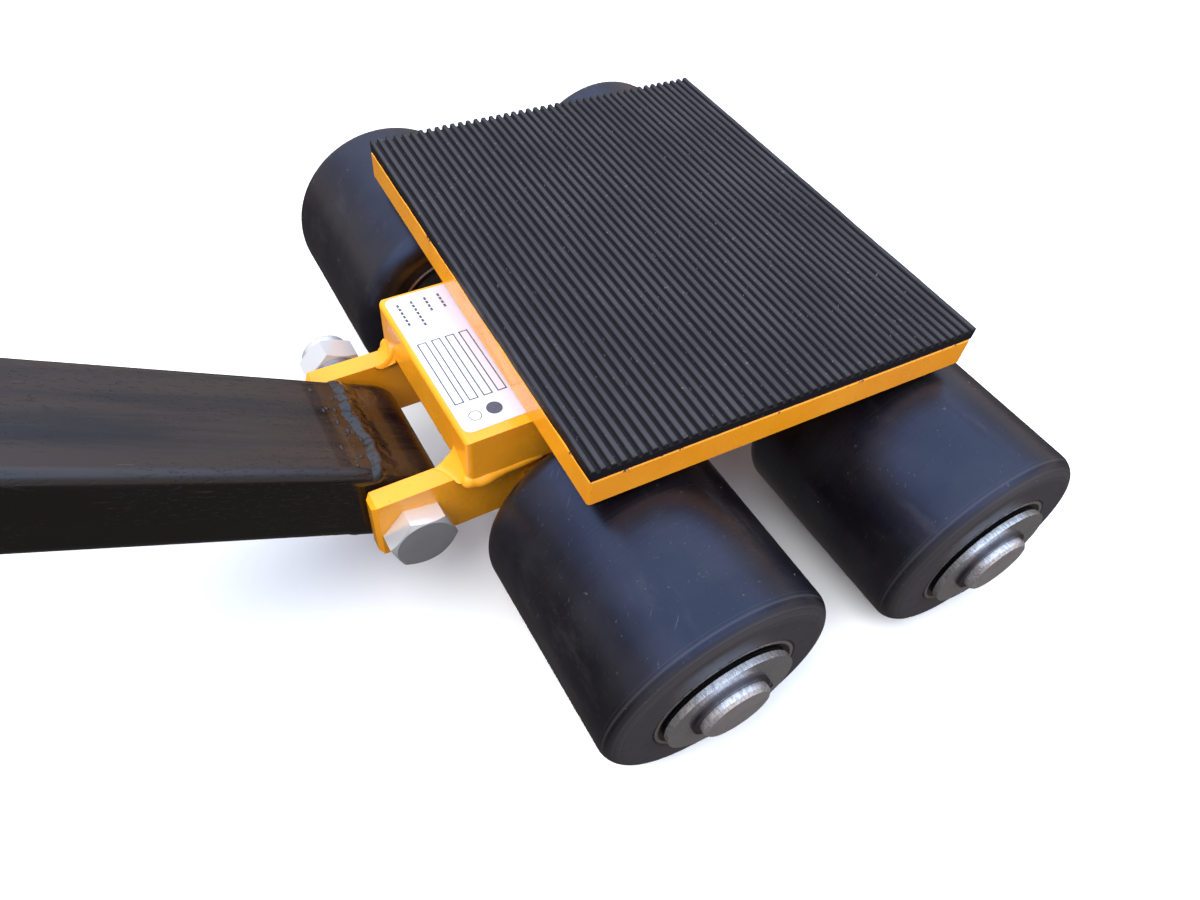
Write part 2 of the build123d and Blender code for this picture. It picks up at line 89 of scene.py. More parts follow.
class Graph:
    """A Principled material whose node graph is built socket by socket."""

    def __init__(self, name, **constants):
        self.material = bpy.data.materials.new(name)
        self.material.use_nodes = True
        self.tree = self.material.node_tree
        self.shader = self.tree.nodes["Principled BSDF"]
        self.place = self.node("ShaderNodeTexCoord").outputs["Object"]
        for socket, value in constants.items():
            self.shader.inputs[socket.replace("_", " ")].default_value = value

    def node(self, kind, **settings):
        made = self.tree.nodes.new(kind)
        for key, value in settings.items():
            setattr(made, key, value)
        return made

    def plug(self, socket, value):
        """Links a socket to another, or sets its constant."""
        if isinstance(value, bpy.types.NodeSocket):
            self.tree.links.new(value, socket)
        else:
            socket.default_value = value

    def set(self, name, value):
        self.plug(self.shader.inputs[name], value)

    def math(self, operation, a, b=0.0):
        made = self.node("ShaderNodeMath", operation=operation)
        self.plug(made.inputs[0], a)
        self.plug(made.inputs[1], b)
        return made.outputs[0]

    def mapped(self, scale=(1, 1, 1), turn=(0, 0, 0), shift=(0, 0, 0), source=None):
        """Object coordinates, shifted, then turned, then scaled."""
        moved = self.node("ShaderNodeMapping", vector_type="POINT")
        self.plug(moved.inputs["Vector"], source or self.place)
        moved.inputs["Location"].default_value = shift
        turned = self.node("ShaderNodeMapping", vector_type="POINT")
        self.plug(turned.inputs["Vector"], moved.outputs[0])
        turned.inputs["Rotation"].default_value = turn
        scaled = self.node("ShaderNodeMapping", vector_type="POINT")
        self.plug(scaled.inputs["Vector"], turned.outputs[0])
        scaled.inputs["Scale"].default_value = scale
        return scaled.outputs[0]

    def noise(self, scale, detail=3.0, roughness=0.55, source=None):
        made = self.node("ShaderNodeTexNoise")
        self.plug(made.inputs["Vector"], source or self.place)
        made.inputs["Scale"].default_value = scale
        made.inputs["Detail"].default_value = detail
        made.inputs["Roughness"].default_value = roughness
        return made.outputs["Fac"]

    def spots(self, scale, source=None):
        """Distance to the nearest of many scattered points."""
        made = self.node("ShaderNodeTexVoronoi")
        self.plug(made.inputs["Vector"], source or self.place)
        made.inputs["Scale"].default_value = scale
        return made.outputs["Distance"]

    def span(self, value, low, high, to_low=0.0, to_high=1.0):
        """Maps low..high to another span, clamped, with smooth ends."""
        made = self.node("ShaderNodeMapRange", interpolation_type="SMOOTHSTEP")
        self.plug(made.inputs["Value"], value)
        made.inputs["From Min"].default_value = low
        made.inputs["From Max"].default_value = high
        made.inputs["To Min"].default_value = to_low
        made.inputs["To Max"].default_value = to_high
        return made.outputs[0]

    def blend(self, factor, a, b):
        made = self.node("ShaderNodeMix", data_type="RGBA")
        self.plug(made.inputs["Factor"], factor)
        self.plug(made.inputs["A"], a if isinstance(a, bpy.types.NodeSocket) else (*a, 1))
        self.plug(made.inputs["B"], b if isinstance(b, bpy.types.NodeSocket) else (*b, 1))
        return made.outputs["Result"]

    def axis(self, letter, source=None):
        split = self.node("ShaderNodeSeparateXYZ")
        self.plug(split.inputs[0], source or self.place)
        return split.outputs[letter]

    def bump(self, height, distance, strength=1.0, below=None):
        made = self.node("ShaderNodeBump")
        self.plug(made.inputs["Height"], height)
        made.inputs["Distance"].default_value = distance
        made.inputs["Strength"].default_value = strength
        if below is not None:
            self.plug(made.inputs["Normal"], below)
        return made.outputs[0]


def frame_paint():
    """Orange-yellow gloss paint with brush tones, a slight peel and dark chips on the plate's top edge."""
    g = Graph("frame_paint", Coat_Weight=0.25, Coat_Roughness=0.06, Specular_IOR_Level=0.45)
    tone = g.noise(26, 4)
    base = g.blend(g.span(tone, 0.35, 0.7), (0.93, 0.375, 0.016), (0.86, 0.315, 0.010))
    speck = g.noise(900, 2)
    base = g.blend(g.span(speck, 0.70, 0.76), base, (0.50, 0.17, 0.01))
    plate_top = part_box("deck_plate")[1].z
    rim = g.span(g.axis("Z"), plate_top - 1.3 * MM, plate_top - 0.6 * MM)
    chips = g.math("MULTIPLY", rim, g.span(g.noise(210, 4, 0.7), 0.60, 0.64))
    base = g.blend(chips, base, (0.09, 0.04, 0.03))
    g.set("Base Color", base)
    g.set("Roughness", g.span(g.noise(70, 3), 0.3, 0.7, 0.20, 0.34))
    peel = g.bump(g.noise(420, 2), 0.06 * MM, 0.5)
    g.set("Normal", g.bump(g.noise(60, 3), 0.25 * MM, 0.35, peel))
    return g.material


def bar_paint():
    """Black gloss paint over rolled tube: lengthwise streaks, brown tints, wrinkles and flecks, with
    painted shade that darkens the tube's side faces.
    """
    g = Graph("bar_paint", Coat_Weight=0.5, Coat_Roughness=0.05, Specular_IOR_Level=0.45)
    in_bar = dict(turn=(0, BAR_PITCH, 0), shift=tuple(-HINGE))
    streak = g.noise(1.0, 5, 0.62, g.mapped(scale=(8, 85, 60), **in_bar))
    base = g.blend(g.span(streak, 0.38, 0.64), (0.004, 0.004, 0.006), (0.022, 0.013, 0.009))
    facing = g.node("ShaderNodeNewGeometry").outputs["True Normal"]
    # Painted shade: faces turned to the sides get a darker, near-black base colour.
    painted_shade_sides = g.span(g.math("ABSOLUTE", g.axis("Y", facing)), 0.4, 0.9)
    base = g.blend(painted_shade_sides, base, (0.005, 0.004, 0.004))
    dash_place = g.mapped(scale=(300, 1000, 1000), **in_bar)
    dash = g.span(g.noise(1.0, 3, 0.6, dash_place), 0.58, 0.64)
    patch = g.span(g.noise(1.0, 2, 0.5, g.mapped(scale=(14, 40, 40), **in_bar)), 0.38, 0.55)
    dash = g.math("MULTIPLY", dash, patch)
    base = g.blend(g.math("MULTIPLY", dash, 0.5), base, (0.002, 0.002, 0.002))
    rub = g.span(g.noise(1.0, 4, 0.7, g.mapped(scale=(30, 500, 500), **in_bar)), 0.66, 0.72)
    base = g.blend(g.math("MULTIPLY", rub, 0.5), base, (0.085, 0.060, 0.045))
    g.set("Base Color", base)
    g.set("Roughness", g.span(streak, 0.35, 0.65, 0.15, 0.40))
    waves = g.bump(streak, 1.2 * MM, 0.18)
    g.set("Normal", g.bump(dash, -0.22 * MM, 0.7, waves))
    return g.material


def from_axle(g, axle):
    """Distance from an axle's centre line."""
    length = g.node("ShaderNodeVectorMath", operation="LENGTH")
    g.plug(length.inputs[0], g.mapped(scale=(1, 0, 1), shift=(-axle.x, 0, -axle.z)))
    return length.outputs["Value"]


def roller_plastic(axle):
    """Black cast polyamide, turned on a lathe: rings round the axle, scuffs, pale specks, and end faces a
    lighter grey that is partly their turned finish and partly painted light.
    """
    g = Graph("roller_plastic_" + ("front" if axle.x > 0 else "rear"),
              Specular_IOR_Level=0.8, Specular_Tint=(0.56, 0.65, 1.0, 1))
    off_middle = g.math("ABSOLUTE", g.axis("Y"))
    end_face = g.span(off_middle, ROLLER_END - 3.5 * MM, ROLLER_END - 0.4 * MM)
    shoulder = g.span(off_middle, ROLLER_END - 8.0 * MM, ROLLER_END - 4.0 * MM)
    rings = g.noise(1.0, 2, 0.6, g.mapped(scale=(0, 1100, 0)))
    radial = g.node("ShaderNodeTexNoise", noise_dimensions="1D")
    g.plug(radial.inputs["W"], from_axle(g, axle))
    radial.inputs["Scale"].default_value = 1400
    cloud = g.span(g.noise(38, 4), 0.35, 0.7)
    base = g.blend(cloud, (0.004, 0.003, 0.004), (0.011, 0.010, 0.011))
    smudge = g.span(g.noise(1.0, 5, 0.7, g.mapped(scale=(55, 22, 55))), 0.56, 0.72)
    base = g.blend(g.math("MULTIPLY", smudge, 0.30), base, (0.040, 0.038, 0.042))
    # Partly painted light: the turned end faces get a lighter grey that stands in for the light they
    # catch.
    turned_end_painted_light = g.blend(radial.outputs["Fac"], (0.024, 0.021, 0.021), (0.060, 0.055, 0.055))
    base = g.blend(end_face, base, turned_end_painted_light)
    ringed = g.math("MULTIPLY", shoulder, g.span(rings, 0.50, 0.62))
    base = g.blend(g.math("MULTIPLY", ringed, 0.6), base, (0.045, 0.042, 0.045))
    slant = g.mapped(scale=(1300, 70, 1300), turn=(0.5, 0, 0.7))
    scratch = g.math("MULTIPLY", g.span(g.noise(1.0, 2, 0.6, slant), 0.70, 0.74), 0.40)
    base = g.blend(scratch, base, (0.075, 0.075, 0.085))
    specks = g.span(g.spots(150), 0.050, 0.028)
    kept = g.span(g.noise(30, 2), 0.52, 0.58)
    base = g.blend(g.math("MULTIPLY", specks, kept), base, (0.30, 0.29, 0.30))
    dust = g.span(g.noise(620, 2), 0.71, 0.76)
    base = g.blend(g.math("MULTIPLY", dust, 0.35), base, (0.12, 0.12, 0.13))
    g.set("Base Color", base)
    scuff = g.noise(1.0, 4, 0.7, g.mapped(scale=(160, 20, 160)))
    rough = g.math("ADD", g.span(rings, 0.3, 0.7, 0.27, 0.36), g.span(scuff, 0.52, 0.75, 0.0, 0.14))
    g.set("Roughness", g.math("ADD", rough, g.math("MULTIPLY", end_face, 0.10)))
    lathe = g.bump(rings, 0.05 * MM, 0.5)
    g.set("Normal", g.bump(g.noise(240, 3), 0.05 * MM, 0.3, lathe))
    return g.material


def mat_rubber():
    """Dull black rubber: grey rib tops, grooves painted near-black as shade, dust."""
    g = Graph("mat_rubber", Specular_IOR_Level=0.35)
    rib_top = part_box("rubber_mat")[1].z
    # Painted shade: below the rib tops the grooves get a near-black base colour.
    top = g.span(g.axis("Z"), rib_top - 0.9 * MM, rib_top - 0.1 * MM)
    tone = g.noise(30, 4)
    rib = g.blend(g.span(tone, 0.3, 0.7), (0.026, 0.025, 0.030), (0.038, 0.037, 0.043))
    base = g.blend(top, (0.007, 0.006, 0.008), rib)
    dust = g.span(g.noise(700, 2), 0.70, 0.74)
    base = g.blend(g.math("MULTIPLY", dust, 0.5), base, (0.20, 0.19, 0.19))
    g.set("Base Color", base)
    g.set("Roughness", g.span(g.noise(90, 3), 0.3, 0.7, 0.52, 0.68))
    g.set("Normal", g.bump(g.noise(800, 3), 0.10 * MM, 0.5))
    return g.material


def bright_metal(name, tone, rough, stain=0.12, metallic=1.0, rim=None, rim_from=0.0, cut_depth=0.0):
    """Plated or turned steel. Faces that look away from the Y axis may get a brighter base colour, a
    painted highlight, and rough cut marks.

    They are so only where they lie further than rim_from from the centre plane. cut_depth is how
    much higher than the fine grain the cutting marks stand.
    """
    g = Graph(name, Metallic=metallic)
    darker = tuple(c * (1 - stain) for c in tone)
    base = g.blend(g.span(g.noise(90, 4), 0.4, 0.7), tone, darker)
    fine = g.noise(420, 2, 0.5)
    g.set("Roughness", g.span(fine, 0.3, 0.7, rough * 0.85, rough * 1.2))
    height = fine
    if rim is not None:
        facing = g.node("ShaderNodeNewGeometry").outputs["True Normal"]
        # Painted highlight: faces turned away from the Y axis get the brighter rim colour.
        painted_highlight_and_cuts = g.span(g.math("ABSOLUTE", g.axis("Y", facing)), 0.98, 0.80)
        at_end = g.math("GREATER_THAN", g.math("ABSOLUTE", g.axis("Y")), rim_from)
        painted_highlight_and_cuts = g.math("MULTIPLY", painted_highlight_and_cuts, at_end)
        base = g.blend(painted_highlight_and_cuts, base, rim)
        if cut_depth:
            cut = g.noise(1.0, 4, 0.7, g.mapped(scale=(1500, 420, 1500)))
            marks = g.math("MULTIPLY", painted_highlight_and_cuts, g.span(cut, 0.42, 0.62))
            base = g.blend(marks, base, tuple(c * 0.6 for c in rim))
            height = g.math("ADD", fine, g.math("MULTIPLY", marks, cut_depth))
    g.set("Base Color", base)
    g.set("Normal", g.bump(height, 0.004 * MM, 0.25))
    return g.material


def bearing_ring(axle):
    """Ground outer ring, its inner edge painted near-black as shade in the gap beside the washer."""
    g = Graph("bearing_outer_" + ("front" if axle.x > 0 else "rear"), Metallic=0.9)
    # Painted shade: the ring's inner edge, next to the washer, is near-black.
    painted_gap_shade = g.span(from_axle(g, axle), 24.6 * MM, 25.1 * MM)
    tone = g.blend(g.noise(160, 4), (0.44, 0.40, 0.39), (0.66, 0.63, 0.62))
    g.set("Base Color", g.blend(painted_gap_shade, (0.012, 0.011, 0.011), tone))
    g.set("Roughness", g.span(g.noise(420, 3), 0.3, 0.7, 0.24, 0.36))
    g.set("Normal", g.bump(g.noise(500, 2), 0.02 * MM, 0.3))
    return g.material


def dull_black(name, tone, rough, scale=500):
    """Seal rubber, grip rubber and moulded plastic."""
    g = Graph(name, Specular_IOR_Level=0.4)
    cloud = g.noise(60, 3)
    g.set("Base Color", g.blend(cloud, tuple(c * 0.75 for c in tone), tuple(c * 1.3 for c in tone)))
    g.set("Roughness", g.span(g.noise(scale, 2), 0.3, 0.7, rough - 0.08, rough + 0.08))
    g.set("Normal", g.bump(g.noise(scale, 3), 0.06 * MM, 0.5))
    return g.material


def foil():
    """White printed foil; towards the deck its base colour turns violet, a painted reflection and shade
    under the deck's overhang.
    """
    g = Graph("plate_foil", Metallic=0.15, Specular_IOR_Level=0.4)
    low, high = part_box("name_plate")
    # Painted reflection and shade: the foil's base colour turns violet towards the deck.
    painted_shade_fade = g.span(g.axis("X"), low.x + 6 * MM, high.x - 4 * MM)
    cloud = g.noise(40, 2)
    painted_violet_near_deck = g.blend(cloud, (0.50, 0.47, 0.60), (0.56, 0.53, 0.66))
    g.set("Base Color", g.blend(painted_shade_fade, painted_violet_near_deck, (0.80, 0.80, 0.83)))
    g.set("Roughness", g.span(g.noise(300, 2), 0.3, 0.7, 0.28, 0.38))
    return g.material


def ink():
    """Thin grey print."""
    g = Graph("plate_ink", Roughness=0.4)
    g.set("Base Color", g.blend(g.noise(900, 2), (0.05, 0.05, 0.07), (0.09, 0.09, 0.12)))
    return g.material


def floor_material():
    """Plain pale floor."""
    g = Graph("pale_floor", Roughness=0.9, Specular_IOR_Level=0.1)
    g.set("Base Color", (0.93, 0.93, 0.93, 1))
    return g.material


# ---------------------------------------------------------------- dressing the CAD nodes

def paint(material, *names):
    """Gives CAD nodes one material."""
    for name in names:
        mesh = nodes[name].data
        mesh.materials.clear()
        mesh.materials.append(material)


orange = frame_paint()
black = bar_paint()
# The rim colours are painted highlights on the facets of the hexagon head and nut and on the rims of
# washers and axle ends, which also carry real cutting marks.
zinc = bright_metal("zinc", (0.46, 0.46, 0.48), 0.20, stain=0.10, metallic=0.6, rim=(0.80, 0.82, 0.86))
washer = bright_metal("washer_zinc", (0.62, 0.62, 0.65), 0.24, stain=0.08, metallic=0.9,
                      rim=(1.0, 1.0, 1.0), rim_from=ROLLER_END, cut_depth=4.0)
turned = bright_metal("turned_steel", (0.74, 0.71, 0.73), 0.32, metallic=0.85,
                      rim=(0.92, 0.91, 0.94), rim_from=ROLLER_END, cut_depth=5.0)
ground = bright_metal("bearing_steel", (0.50, 0.48, 0.48), 0.30, metallic=0.9)
dark_spring = bright_metal("blackened_steel", (0.13, 0.12, 0.13), 0.42)
bronze = bright_metal("bronze", (0.60, 0.38, 0.17), 0.35)
cage = bright_metal("cage_steel", (0.45, 0.43, 0.38), 0.35)
seal = dull_black("seal_rubber", (0.02, 0.018, 0.018), 0.6)
grip = dull_black("grip_rubber", (0.022, 0.021, 0.023), 0.62)
plug = dull_black("plug_plastic", (0.02, 0.02, 0.021), 0.45, 900)
rubber = mat_rubber()

paint(orange, "side_plate_left", "side_plate_right", "front_cross_plate", "rear_cross_plate",
      "hub_block", "hitch_block", "hitch_ear_left", "hitch_ear_right", "deck_plate")
paint(black, "drawbar_eye", "drawbar_tube", "drawbar_handle")
paint(zinc, "hinge_bolt", "hinge_washer", "hinge_nut", "king_pin_washer")
paint(washer, "axle_end_washers")
paint(turned, "front_axle", "rear_axle", "bearing_spacer_tubes", "axle_inner_sleeves", "king_pin")
paint(dark_spring, "axle_circlips", "king_pin_circlip", "axle_shim_rings")
paint(ground, "bearing_inner_rings", "thrust_lower_race", "thrust_upper_race", "thrust_balls")
paint(cage, "thrust_cage")
paint(bronze, "hub_bush")
paint(plug, "drawbar_end_plug")
paint(grip, "handle_grip_left", "handle_grip_right")
paint(rubber, "rubber_mat")
paint(foil(), "name_plate")
for end in ("front", "rear"):
    plastic = roller_plastic(middle(end + "_axle"))
    ring = bearing_ring(middle(end + "_axle"))
    for side in ("left", "right"):
        corner = f"{end}_{side}"
        paint(plastic, "roller_" + corner)
        paint(ring, "bearing_outer_rings_" + corner)
        paint(ground, "bearing_balls_" + corner)
        paint(cage, "bearing_cages_" + corner)
        paint(seal, "bearing_seals_" + corner)


# ---------------------------------------------------------------- made pieces

def piece(name, points, faces, body, material, flat=False):
    """A mesh object in the row frame that rides on a CAD body."""
    mesh = bpy.data.meshes.new(name)
    mesh.from_pydata([tuple(p) for p in points], [], faces)
    mesh.materials.append(material)
    mesh.polygons.foreach_set("use_smooth", [not flat] * len(faces))
    made = bpy.data.objects.new(name, mesh)
    bpy.context.scene.collection.objects.link(made)
    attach(made, body)
    return made


def strip(rows, around, closed_ends=True):
    """Faces that join rows of points, each row a closed ring of the same length."""
    faces = []
    for r in range(rows - 1):
        for k in range(around):
            a = r * around + k
            b = r * around + (k + 1) % around
            faces.append((a, b, b + around, a + around))
    if closed_ends:
        faces.append(tuple(reversed(range(around))))
        faces.append(tuple(range((rows - 1) * around, rows * around)))
    return faces


def along(path, step):
    """Points at even steps along a polyline, and its length."""
    lengths = [(b - a).length for a, b in zip(path, path[1:])]
    total = sum(lengths)
    count = max(6, int(total / step))
    points = []
    for i in range(count + 1):
        left = total * i / count
        for a, b, length in zip(path, path[1:], lengths):
            if left <= length or b is path[-1]:
                points.append(a.lerp(b, min(1.0, left / length)))
                break
            left -= length
    return points, total


def bead(name, path, up, width, height, body, material, seed, place=None, lumps=0.05, ripple=0.035,
         thinning=0.0):
    """A weld bead: uneven rippled rings swept along a path, rounded off at both ends."""
    around = 16
    step = 0.45 * MM
    ripple_pitch = 2.6 * MM
    swelling = 0.16
    slow = 170                      # noise frequencies, per metre
    fine = 450
    rounding = 0.9 * width
    thinnest = 0.05
    centres, total = along([Vector(p) for p in path], step)
    drift = Vector((seed * 3.7, seed * 1.9, seed * 5.3))
    rings = []
    for i, centre in enumerate(centres):
        before = centres[max(0, i - 1)]
        after = centres[min(len(centres) - 1, i + 1)]
        ahead = (after - before).normalized()
        side = ahead.cross(Vector(up)).normalized()
        lift = side.cross(ahead)
        done = total * i / (len(centres) - 1)
        from_end = min(done, total - done)
        taper = math.sqrt(max(0.0, 1 - max(0.0, 1 - from_end / rounding) ** 2))
        swell = 1 + swelling * noise.noise(centre * slow + drift)
        swell += ripple * math.sin(2 * math.pi * done / ripple_pitch)
        swell *= 1 - thinning * done / total
        for k in range(around):
            turn = 2 * math.pi * k / around
            out = side * math.cos(turn) * width + lift * math.sin(turn) * height
            rough = 1 + lumps * noise.noise((centre + out) * fine + drift)
            rings.append(centre + out * max(thinnest, taper) * swell * rough)
    if place is not None:
        rings = [place @ p for p in rings]
    return piece(name, rings, strip(len(centres), around), body, material)


def eye_weld(name, side, seed, crown):
    """Painted-over weld between eye and tube: flows out over the eye, ends lumpy on the tube."""
    half = BAR_WIDTH / 2 - BAR_CORNER
    top = BAR_HEIGHT / 2 - BAR_CORNER
    corner_steps = 8
    flat_steps = 90
    section = []
    for k in range(corner_steps + 1):
        turn = math.pi * (1 - k / (2 * corner_steps))
        section.append((Vector((0, -half, top)), Vector((0, math.cos(turn), math.sin(turn)))))
    for k in range(1, flat_steps):
        section.append((Vector((0, -half + 2 * half * k / flat_steps, top)), Vector((0, 0, 1))))
    for k in range(corner_steps + 1):
        turn = math.pi / 2 * (1 - k / corner_steps)
        section.append((Vector((0, half, top)), Vector((0, math.cos(turn), math.sin(turn)))))
    start = 7.0 * MM
    reach = 16.5 * MM
    columns = 44
    mean_edge = 16.8 * MM
    wander = 2.2 * MM
    wobble = 1.1 * MM
    crest = 0.72                    # where the bead is highest, as a share of its width
    past_edge = 1.15
    slope = 1.6
    lumpiness = 0.22
    sunk = -0.3 * MM
    fade_steps = 11
    points = []
    for k, (centre, out) in enumerate(section):
        base = centre + out * BAR_CORNER
        drift = Vector((seed * 5.1, base.y * 150, seed * 2.3))
        edge = mean_edge + wander * noise.noise(drift) + wobble * noise.noise(drift * 3.1)
        full = crown * (1 + 0.42 * noise.noise(drift * 1.7 + Vector((9, 0, 0))))
        fade = min(1.0, k / fade_steps, (len(section) - 1 - k) / fade_steps)
        for column in range(columns):
            x = start + reach * column / (columns - 1)
            share = (x - start) / (edge - start)
            if share < crest:
                rise = (share / crest) ** slope
            else:
                rise = 1 - ((share - crest) / (1 - crest)) ** 2
            lump = noise.noise(Vector((x * 330, base.y * 330, seed)))
            height = sunk
            if share < past_edge:
                height = max(sunk, full * fade * (rise + lumpiness * lump * min(1, 2 * share)))
            point = base + out * height
            points.append(bar_to_row @ Vector((x, point.y, side * point.z)))
    faces = []
    for k in range(len(section) - 1):
        for column in range(columns - 1):
            a = k * columns + column
            faces.append((a, a + 1, a + columns + 1, a + columns))
    if side > 0:
        faces = [tuple(reversed(face)) for face in faces]
    piece(name, points, faces, "drawbar", black)


def weld_spatter():
    """Small drops of spatter on the tube beside the weld."""
    top = BAR_HEIGHT / 2
    drops = 30
    levels = 5
    around = 10
    sunk = 0.1 * MM
    tip = 0.01 * MM                 # keeps the top ring open
    flatness = 0.7
    rng = random.Random(7)
    points = []
    faces = []
    for _ in range(drops):
        centre = Vector((rng.uniform(16, 26) * MM, rng.uniform(-19, 20) * MM, top - sunk))
        radius = rng.uniform(0.25, 0.9) * MM
        stretch = rng.uniform(1.0, 2.0)
        first = len(points)
        for level in range(levels):
            rise = math.pi / 2 * level / (levels - 1)
            for k in range(around):
                turn = 2 * math.pi * k / around
                ring = radius * math.cos(rise) + tip
                across = math.sin(turn) * ring * stretch
                out = Vector((math.cos(turn) * ring, across, math.sin(rise) * radius * flatness))
                points.append(bar_to_row @ (centre + out))
        faces += [tuple(first + i for i in face) for face in strip(levels, around)]
    piece("eye_weld_spatter", points, faces, "drawbar", black)


def handle_welds():
    """Beads where the cross handle passes through the tube."""
    centre = bar_to_row.inverted() @ middle("drawbar_handle")
    steps = 24
    for side, name in ((1, "left"), (-1, "right")):
        ring = []
        for k in range(steps + 1):
            turn = 2 * math.pi * k / steps
            x = centre.x + HANDLE_R * math.cos(turn)
            z = centre.z + HANDLE_R * math.sin(turn)
            ring.append((x, side * BAR_WIDTH / 2, z))
        bead("handle_weld_" + name, ring, (0, side, 0), 1.9 * MM, 1.7 * MM, "drawbar", black,
             3 + side, bar_to_row)


def corner_weld(name, front, seat, outer, inner, side):
    """Hollow fillet in the corner between an ear's top and the hitch block's front face."""
    leg = 8.0 * MM
    spill_out = 2.6 * MM
    spill_in = 1.2 * MM             # the raised drawbar passes 1.5 mm from the ear
    least = 0.45                    # size at the outer side, as a share of the inner side's
    overlap = 0.5 * MM
    sunk = 0.05 * MM
    swelling = 0.9 * MM
    unevenness = 0.10
    stations = 34
    steps = 14
    start = outer + side * spill_out
    points = []
    for j in range(stations + 1):
        y = start + (inner - side * spill_in - start) * j / stations
        past = max(0.0, side * (y - outer) / spill_out, side * (inner - y) / spill_in)
        inward = min(1.0, max(0.0, side * (outer - y) / abs(outer - inner)))
        reach = leg * (least + (1 - least) * inward) * math.sqrt(max(0.0, 1 - past ** 2))
        reach *= 1 + unevenness * noise.noise(Vector((side * 4.0, y * 220, 2.0)))
        points.append(Vector((front - overlap, y, seat - overlap - 0.25 * reach * past)))
        for k in range(steps + 1):
            turn = math.pi / 2 * k / steps
            x = front + reach * (1 - math.sin(turn)) - sunk
            z = seat + reach * (1 - math.cos(turn)) - sunk
            uneven = 0.7 + noise.noise(Vector((x, y, z)) * 150)
            full = 0.7 * swelling * math.sin(2 * turn) * uneven
            sag = 0.35 * reach * past * math.cos(turn)
            points.append(Vector((x + full, y, z + full - sag)))
    ring = steps + 2                # the curve's points and the corner itself
    faces = strip(stations + 1, ring)
    if side < 0:
        faces = [tuple(reversed(face)) for face in faces]
    piece(name, points, faces, "chassis", orange)


def chassis_welds():
    """Painted beads round the hitch block, the ears and the plates of the chassis."""
    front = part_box("hitch_block")[1].x
    hub_low, hub_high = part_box("hub_block")
    for side, name in ((1, "left"), (-1, "right")):
        ear_low, ear_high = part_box("hitch_ear_" + name)
        seat = ear_high.z
        outer, inner = (ear_high.y, ear_low.y) if side > 0 else (ear_low.y, ear_high.y)
        corner_weld("ear_corner_weld_" + name, front, seat, outer, inner, side)
        # Round the block's corner, then back along the ear's outer side.
        seam = [
            (front + 1.8 * MM, outer + side * 1.2 * MM, seat - 0.2 * MM),
            (front - 5.0 * MM, outer + side * 2.4 * MM, seat - 1.4 * MM),
            (front - 14.0 * MM, outer + side * 2.1 * MM, seat - 0.6 * MM),
            (ear_low.x - 7.0 * MM, outer + side * 2.4 * MM, seat - 0.2 * MM),
        ]
        bead("ear_seam_weld_" + name, seam, (0, side, 0.4), 3.3 * MM, 3.4 * MM, "chassis", orange,
             20 + side, lumps=0.02, ripple=0.006, thinning=0.55)
        plate_low, plate_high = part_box("side_plate_" + name)
        y = plate_high.y if side > 0 else plate_low.y
        top = plate_high.z
        run = [(hub_low.x + 4 * MM, y, top), (0, y, top), (hub_high.x - 4 * MM, y, top)]
        bead("side_plate_weld_" + name, run, (0, side, 1), 2.2 * MM, 1.8 * MM, "chassis", orange,
             30 + side)
        ends = ((1, plate_high.x, "front_cross_plate"), (-1, plate_low.x, "rear_cross_plate"))
        for end, x, plate in ends:
            cross_low, cross_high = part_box(plate)
            edge = [(x, y, cross_low.z + 2 * MM), (x, y, cross_high.z - 6 * MM)]
            bead(f"{plate}_weld_{name}", edge, (0, side, 0), 2.0 * MM, 1.4 * MM, "chassis", orange,
                 40 + 2 * end + side)


def ribbed_mat():
    """The rubber mat with rounded ribs and edges cut by hand."""
    low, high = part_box("rubber_mat")
    thick = high.z - low.z
    half_x = 75.25 * MM
    half_y = 93.6 * MM
    pitch = 3.46 * MM
    grooves = 43
    first = -72.5 * MM
    floor_z = thick - 1.7 * MM
    wall = 0.22 * MM
    groove = 0.86 * MM
    round_off = 0.42 * MM
    shoulder = 0.12 * MM
    shoulder_drop = 0.10 * MM
    bevel = 0.3 * MM
    outline = [(-half_x, 0), (-half_x, thick * 0.5), (-half_x, thick - bevel), (-half_x + bevel, thick)]
    for i in range(grooves):
        x = first + i * pitch
        outline += [
            (x - groove - round_off, thick), (x - groove - shoulder, thick - shoulder_drop),
            (x - groove, thick - round_off), (x - groove + wall, floor_z),
            (x + groove - wall, floor_z), (x + groove, thick - round_off),
            (x + groove + shoulder, thick - shoulder_drop), (x + groove + round_off, thick),
        ]
    outline += [(half_x - bevel, thick), (half_x, thick - bevel), (half_x, thick * 0.5), (half_x, 0)]
    stations = 48
    cut_back = 0.15 * MM
    cut_wave = 0.35 * MM
    rib_sway = 0.14 * MM
    nick_depth = 0.30 * MM
    edge_width = 0.5 * MM
    place = Matrix.Translation((middle("rubber_mat").x, middle("rubber_mat").y, low.z))
    place = place @ Matrix.Rotation(DECK_YAW, 4, "Z")
    points = []
    for j in range(stations + 1):
        share = 2 * j / stations - 1
        for x, z in outline:
            cut = noise.noise(Vector((x * 90, share * 0.2, 3.1)))
            cut += 0.5 * noise.noise(Vector((x * 420, 0, 8.2)))
            y = share * (half_y - cut_back + cut_wave * cut)
            sway = rib_sway * noise.noise(Vector((x * 16, y * 45, 1.7)))
            if abs(x) > half_x - edge_width:
                nick = nick_depth * abs(noise.noise(Vector((0.5, y * 120, x * 10))))
                sway -= math.copysign(nick, x)
            points.append(place @ Vector((x + sway, y, z)))
    mat = piece("ribbed_mat", points, strip(stations + 1, len(outline)), "deck", rubber)
    mat.data.polygons.foreach_set("use_smooth", [len(p.vertices) == 4 for p in mat.data.polygons])
    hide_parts("rubber_mat")


